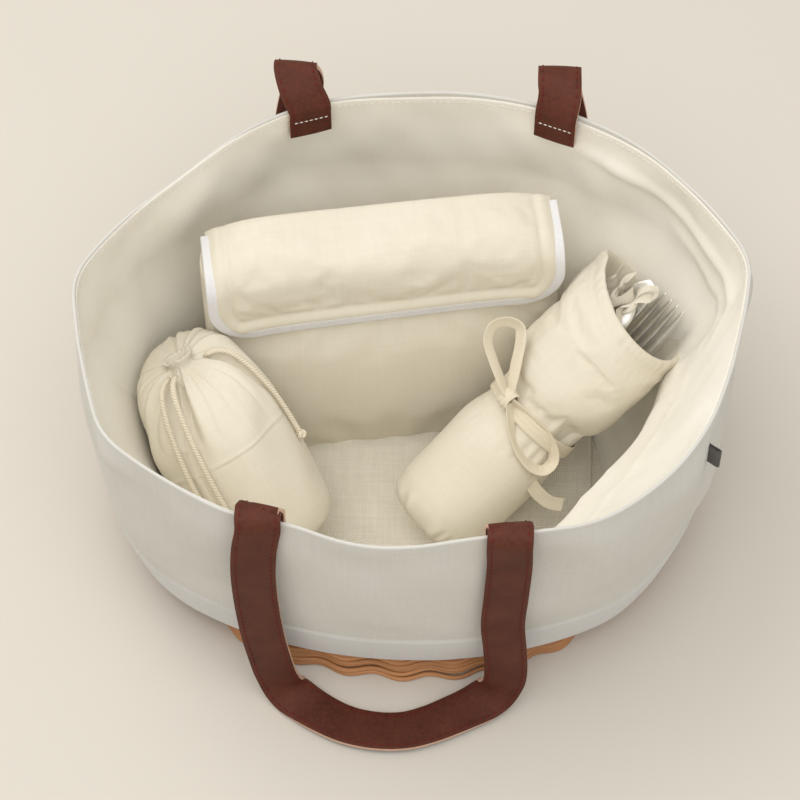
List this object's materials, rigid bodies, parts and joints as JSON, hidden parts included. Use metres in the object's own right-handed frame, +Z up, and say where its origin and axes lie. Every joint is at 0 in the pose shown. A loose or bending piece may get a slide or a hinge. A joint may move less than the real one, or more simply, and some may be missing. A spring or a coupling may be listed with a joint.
{
  "type": "picnic basket",
  "caption": "Oval picnic basket with a woven willow tray, canvas upper, cloth lining and leather strap handles, packed with a padded plate pouch, drawstring bag and tied cutlery roll.",
  "frame": {"origin": "on the ground, under the middle of the basket", "axes": "+X to the right along the long side, -Y to the front where the nearer handle lies, +Z up"},
  "size_m": [0.46, 0.4366, 0.2675],
  "materials": {
    "willow": "varnished willow rods",
    "canvas": "matt cotton canvas",
    "lining": "matt cotton lining",
    "linen": "coarse linen weave",
    "leather": "smooth leather, satin",
    "cotton": "quilted cotton, matt",
    "binding": "cotton twill tape",
    "cord": "cotton cord and tape",
    "steel": "polished stainless steel",
    "tab": "woven tape, plain"
  },
  "bodies": {
    "basket": {"willow_floor": "willow", "willow_foot_wale": "willow", "willow_siding_1": "willow", "willow_siding_2": "willow", "willow_siding_3": "willow", "willow_stakes_and_border": "willow", "canvas_right": "canvas", "canvas_back": "canvas", "canvas_left": "canvas", "canvas_front": "canvas", "rim_hem": "canvas", "lining_floor": "lining", "lining_right": "lining", "lining_back": "lining", "lining_left": "lining", "lining_front": "lining", "floor_pad": "linen", "side_tab": "tab", "front_handle_tab_left": "leather", "front_handle_tab_right": "leather", "rear_handle_tab_left": "leather", "rear_handle_tab_right": "leather"},
    "front_handle": {"front_handle_strap": "leather"},
    "rear_handle": {"rear_handle_strap": "leather"},
    "plate_pouch": {"pouch_front_panel": "cotton", "pouch_back_panel": "cotton", "pouch_gusset": "cotton"},
    "pouch_flap": {"pouch_flap": "cotton", "flap_binding": "binding"},
    "drawstring_bag": {"drawstring_bag": "cotton", "drawstring_left_1": "cord", "drawstring_left_2": "cord", "drawstring_right": "cord"},
    "cutlery_roll": {"cutlery_roll_foot": "cotton", "cutlery_roll_mouth": "cotton", "roll_tie_band": "cord", "roll_tie_knot": "cord", "roll_tie_loop_rear": "cord", "roll_tie_loop_front": "cord", "roll_tie_tail": "cord", "dinner_fork_1": "steel", "dinner_fork_2": "steel", "dinner_fork_3": "steel", "table_knife": "steel", "dessert_spoon": "steel", "napkin": "cotton"}
  },
  "joints": [
    {"name": "front_handle_swing", "type": "hinge", "parent": "basket", "child": "front_handle", "pos_m": [0, -0.1654, 0.256], "axis": [-1, 0, 0], "range_deg": [0, 160]},
    {"name": "rear_handle_swing", "type": "hinge", "parent": "basket", "child": "rear_handle", "pos_m": [0, 0.1654, 0.268], "axis": [1, 0, 0], "range_deg": [0, 160]},
    {"name": "pouch_lift", "type": "slide", "parent": "basket", "child": "plate_pouch", "axis": [-0.0405, 0.2556, 0.9659], "range_m": [0, 0.25]},
    {"name": "flap_open", "type": "hinge", "parent": "plate_pouch", "child": "pouch_flap", "pos_m": [-0.0337, 0.1127, 0.1908], "axis": [-0.9877, -0.1564, 0], "range_deg": [0, 105]},
    {"name": "bag_lift", "type": "slide", "parent": "basket", "child": "drawstring_bag", "axis": [0, 0, 1], "range_m": [0, 0.26]},
    {"name": "roll_lift", "type": "slide", "parent": "basket", "child": "cutlery_roll", "axis": [0, 0, 1], "range_m": [0, 0.26]}
  ]
}
